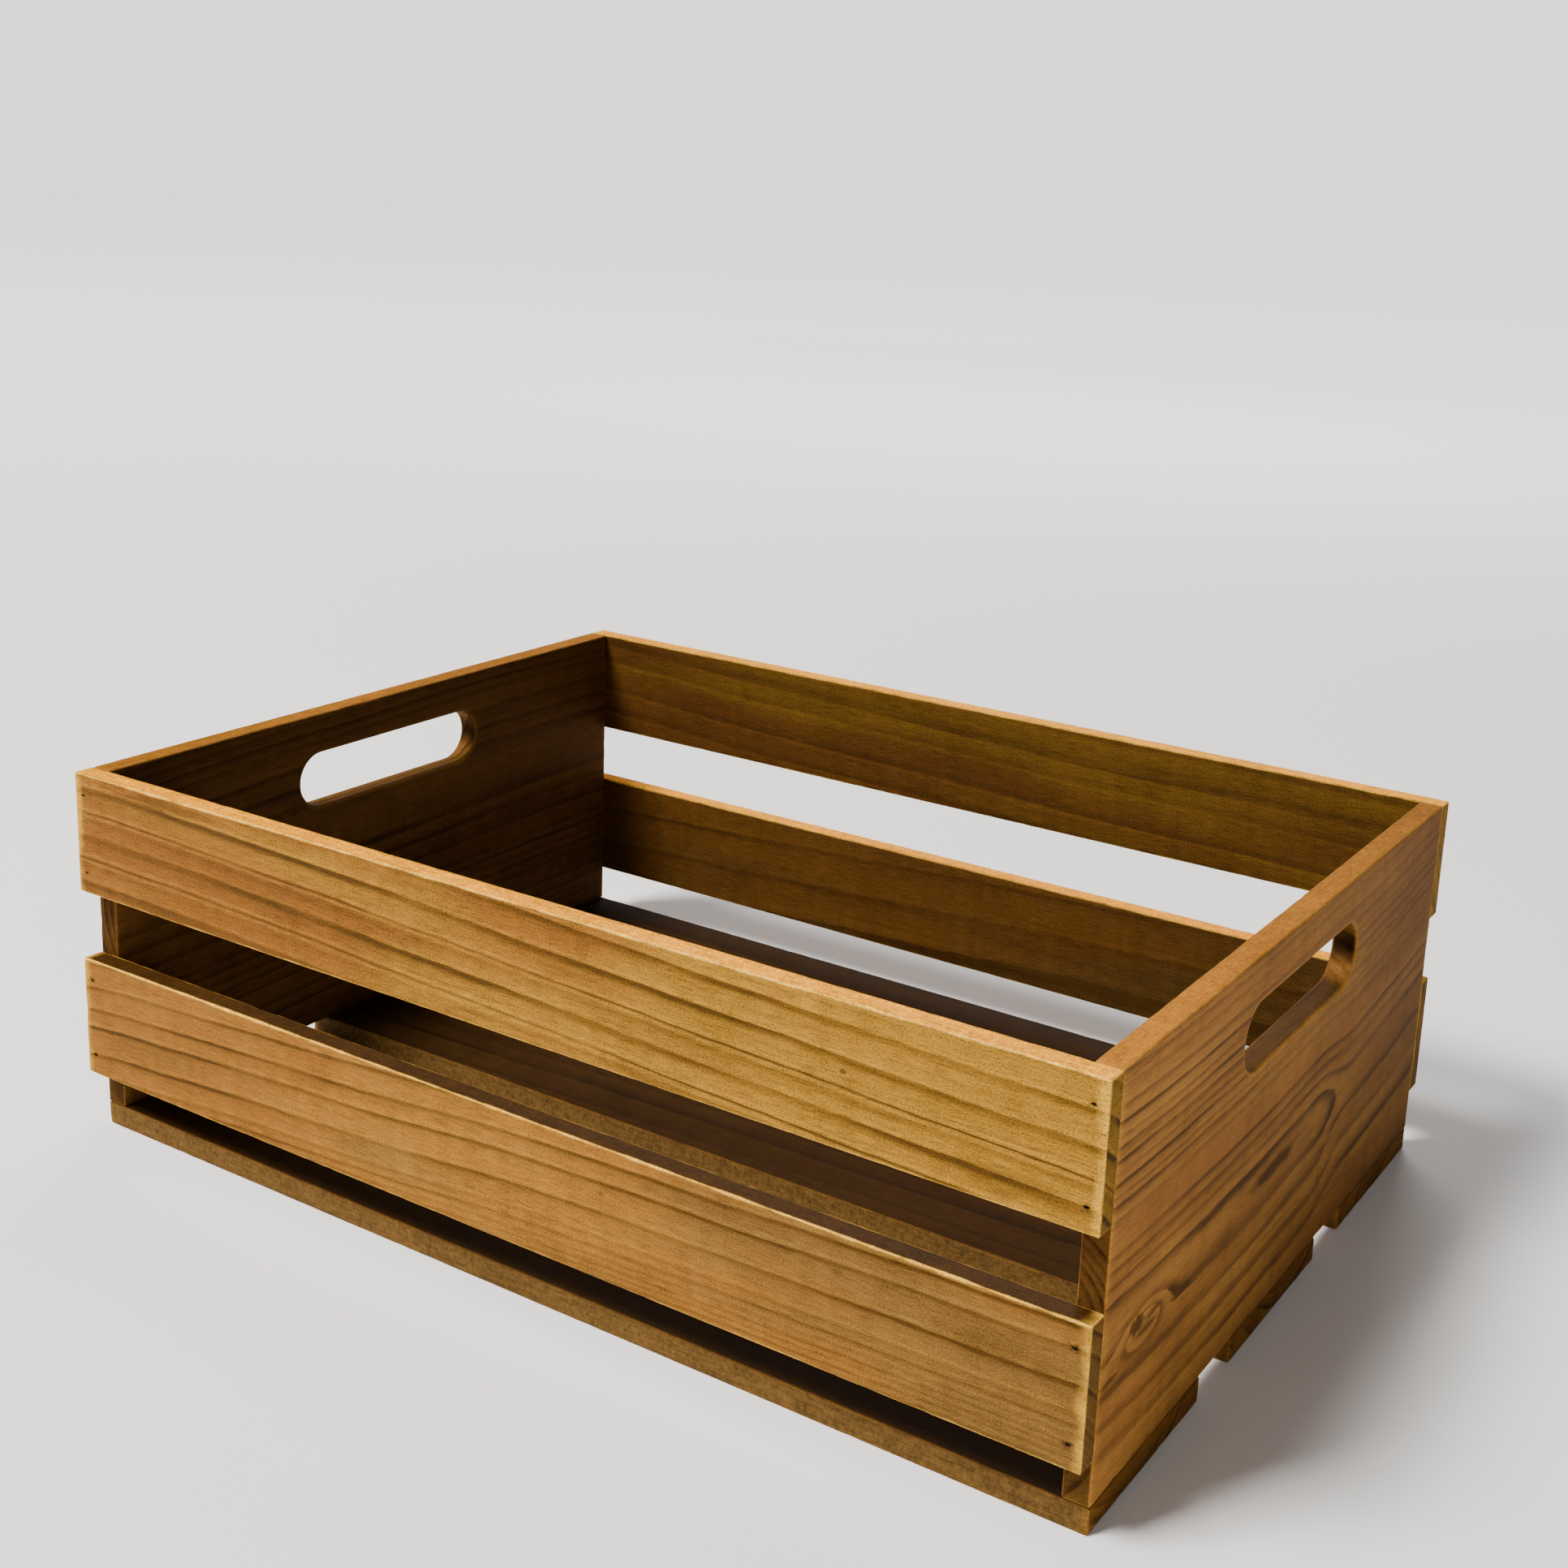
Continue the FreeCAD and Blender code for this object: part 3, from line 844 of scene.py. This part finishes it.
BOARDS = {
    "front_top_slat": (ALONG_X_UPRIGHT, dict(
        GOLD, seed=2.0, pith=(-85.0, -70.0), drift=(-0.0352, -0.00003), face=-1, inside=1,
        lines=((35.5, 0.6), (24.5, 0.9), (13.3, 0.95), (2.9, 0.95), (0.4, 0.45), (-6.9, 1.0),
               (-16.2, 0.95), (-19.0, 0.4), (-26.5, 0.7), (-36.0, 0.6)), brads=SIDE_BRADS,
        marks=((-176.0, 21.8, 34.0, 2.4, 0.55), (139.0, 1.8, 1.6, 1.0, 0.8),
               (33.0, 16.5, 4.0, 7.5, 0.3), (-106.0, -7.0, 5.0, 6.0, 0.25),
               (196.0, -17.0, 26.0, 6.0, 0.3)))),
    "front_lower_slat": (ALONG_X_UPRIGHT, dict(
        COPPER, seed=14.0, pith=(-95.0, -80.0), drift=(0.050, -0.00007), face=-1, inside=1,
        lines=((38.0, 0.7), (27.5, 0.9), (17.8, 1.0), (10.0, 1.0), (-1.8, 1.0), (-11.5, 0.35),
               (-15.3, 0.7), (-19.0, 0.35), (-22.0, 0.5), (-24.5, 0.45), (-27.0, 0.5),
               (-30.0, 0.4), (-34.0, 0.5)), brads=SIDE_BRADS, edge=0.97,
        # The top face here is painted dark: painted shade under the top slat.
        planed=(0.033, 0.0145, 0.0030),
        marks=((43.0, 8.0, 1.5, 1.0, 0.7), (140.0, 12.0, 2.2, 1.6, 0.4),
               (-195.0, -10.0, 26.0, 8.0, 0.2), (200.0, 6.0, 24.0, 7.0, 0.3),
               (-20.0, 0.0, 110.0, 34.0, -0.06)))),
    "back_top_slat": (ALONG_X_UPRIGHT, dict(
        GOLD, seed=23.0, pith=(60.0, 80.0), drift=(-0.03, 0.00004), inside=-1, gloom=0.38,
        brads=SIDE_BRADS)),
    "back_lower_slat": (ALONG_X_UPRIGHT, dict(
        COPPER, seed=35.0, pith=(-40.0, -90.0), drift=(0.04, 0.0), inside=-1, gloom=0.38,
        brads=SIDE_BRADS)),
    "bottom_front_slat": (ALONG_X_FLAT, dict(
        FLOOR, seed=44.0, pith=(-20.0, 60.0), drift=(0.02, 0.0001), brads=FLOOR_BRADS)),
    "bottom_middle_slat": (ALONG_X_FLAT, dict(
        FLOOR, seed=53.0, pith=(10.0, 50.0), drift=(0.03, -0.00005), brads=FLOOR_BRADS)),
    "bottom_back_slat": (ALONG_X_FLAT, dict(
        FLOOR, seed=67.0, pith=(35.0, -65.0), drift=(-0.02, 0.0001), brads=FLOOR_BRADS)),
    "right_end_panel": (ALONG_Y_UPRIGHT, dict(
        UMBER, seed=71.0, pith=(-19.5, -23.0), drift=(0.025, 0.00028), face=1, inside=-1,
        crowd=(12.0, 0.5), rise=(28.0, 64.0, 3.2), spacing=5.0, wander=1.0, fade=(-90, -10, 12.0),
        # Painted shade: lighter at the front end, darker at the back, darker still in the hand
        # slot.
        taper=(-130.0, 0.0, 3.6), shade=(1.46, 0.80), wall=0.2,
        lines=((-8.0, 1.0), (-2.0, 0.7), (3.5, 0.6), (8.5, 0.8), (21.0, 0.5), (26.0, 0.8),
               (29.0, 0.5), (33.5, 1.0), (37.0, 0.6), (41.5, 1.0), (46.0, 1.0), (49.5, 0.5),
               (54.5, 0.9), (60.0, 0.6), (66.5, 0.5), (71.0, 0.6)),
        knots=(dict(u=-126.0, v=-25.0, length=17.0, height=6.5, bow=6.5),),
        marks=((-15.5, -18.4, 25.0, 3.8, 0.95), (-96.0, -28.4, 10.0, 1.5, 0.95),
               (-132.5, -23.0, 6.5, 3.8, 0.95), (-125.0, -27.8, 10.0, 1.3, 0.8),
               (-119.0, -24.0, 6.0, 1.3, 0.7), (-152.0, -33.0, 9.0, 1.3, 0.85)))),
    "left_end_panel": (ALONG_Y_UPRIGHT, dict(
        UMBER, seed=86.0, pith=(20.0, 40.0), drift=(0.02, -0.0001), spacing=6.0, inside=1,
        gloom=0.52)),
}
SLOT_LENGTH, SLOT_HEIGHT, SLOT_EDGE = 113 * MM, 25 * MM, 1.5 * MM
SLOT_DROP = 31 * MM
SLOT_LEVEL = CAD_BOX[1][2] - SLOT_DROP


def brad_spots(node):
    """Where the pits of a slat's brads open: point and outward direction."""
    if node.endswith("panel"):
        return []
    low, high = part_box(node)
    spots = []
    for end in ("left", "right"):
        brad_low, brad_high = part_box("brads_" + node.replace("_slat", "") + "_" + end)
        x = (brad_low.x + brad_high.x) / 2
        head = (brad_high.x - brad_low.x) / 2
        if node.startswith("bottom"):
            for y in (brad_low.y + head, brad_high.y - head):
                spots.append((Vector((x, y, low.z)), Vector((0, 0, -1))))
        else:
            front = node.startswith("front")
            face = low.y if front else high.y
            outwards = Vector((0, -1 if front else 1, 0))
            for z in (brad_low.z + head, brad_high.z - head):
                spots.append((Vector((x, face, z)), outwards))
    return spots


def make_board(node, axes, look):
    low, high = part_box(node)
    board = rounded_board(node + "_wood", low, high)
    wear_board(board, low, high, look["seed"])
    if node.endswith("panel"):
        cut_with(board, slot_cutter(low, high, SLOT_LEVEL, SLOT_LENGTH, SLOT_HEIGHT, SLOT_EDGE))
    grain = Vector((1, 0, 0))
    pits = [
        pit_rings(spot, outwards, grain, look["seed"] + number * 5)
        for number, (spot, outwards) in enumerate(brad_spots(node))
    ]
    if pits:
        cut_with(board, loft("pits", pits))
    centre = [(low[axis] + high[axis]) / 2 / MM for axis in axes]
    halves = [(high[axis] - low[axis]) / 2 / MM for axis in axes]
    if node.endswith("panel"):
        hole = SLOT_LEVEL - (low.z + high.z) / 2, (SLOT_LENGTH - SLOT_HEIGHT) / 2, SLOT_HEIGHT / 2
        look = dict(look, hole=[size / MM for size in hole])
    material = wood_material(node, axes, centre, halves, look)
    finish_board(board, node, material)


for node, (axes, look) in BOARDS.items():
    make_board(node, axes, look)

# ---------------------------------------------------------------- brads

CLEAN_STEEL = (0.10, 0.085, 0.07)
STAINED_STEEL = (0.045, 0.026, 0.014)
STAIN_SCALE = 2500.0


def steel_material():
    material = bpy.data.materials.new("brad_steel")
    material.use_nodes = True
    s = Shader(material.node_tree)
    shader = material.node_tree.nodes["Principled BSDF"]
    place = s.split(s.node("ShaderNodeTexCoord").outputs["Object"])
    x, y, z = (s.mul(part, STAIN_SCALE) for part in place)
    stain = s.noise(x, y, z, seed=3.0, detail=0.6, roughness=4.0)
    colour = s.mix(s.ramp(stain, -0.4, 0.8), CLEAN_STEEL, STAINED_STEEL)
    s.feed(shader.inputs["Base Color"], colour)
    s.feed(shader.inputs["Roughness"], s.ramp(stain, -1, 1, 0.38, 0.75))
    shader.inputs["Metallic"].default_value = 0.8
    return material


steel = steel_material()
for node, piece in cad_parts.items():
    if node.startswith("brads"):
        piece.data.materials.clear()
        piece.data.materials.append(steel)
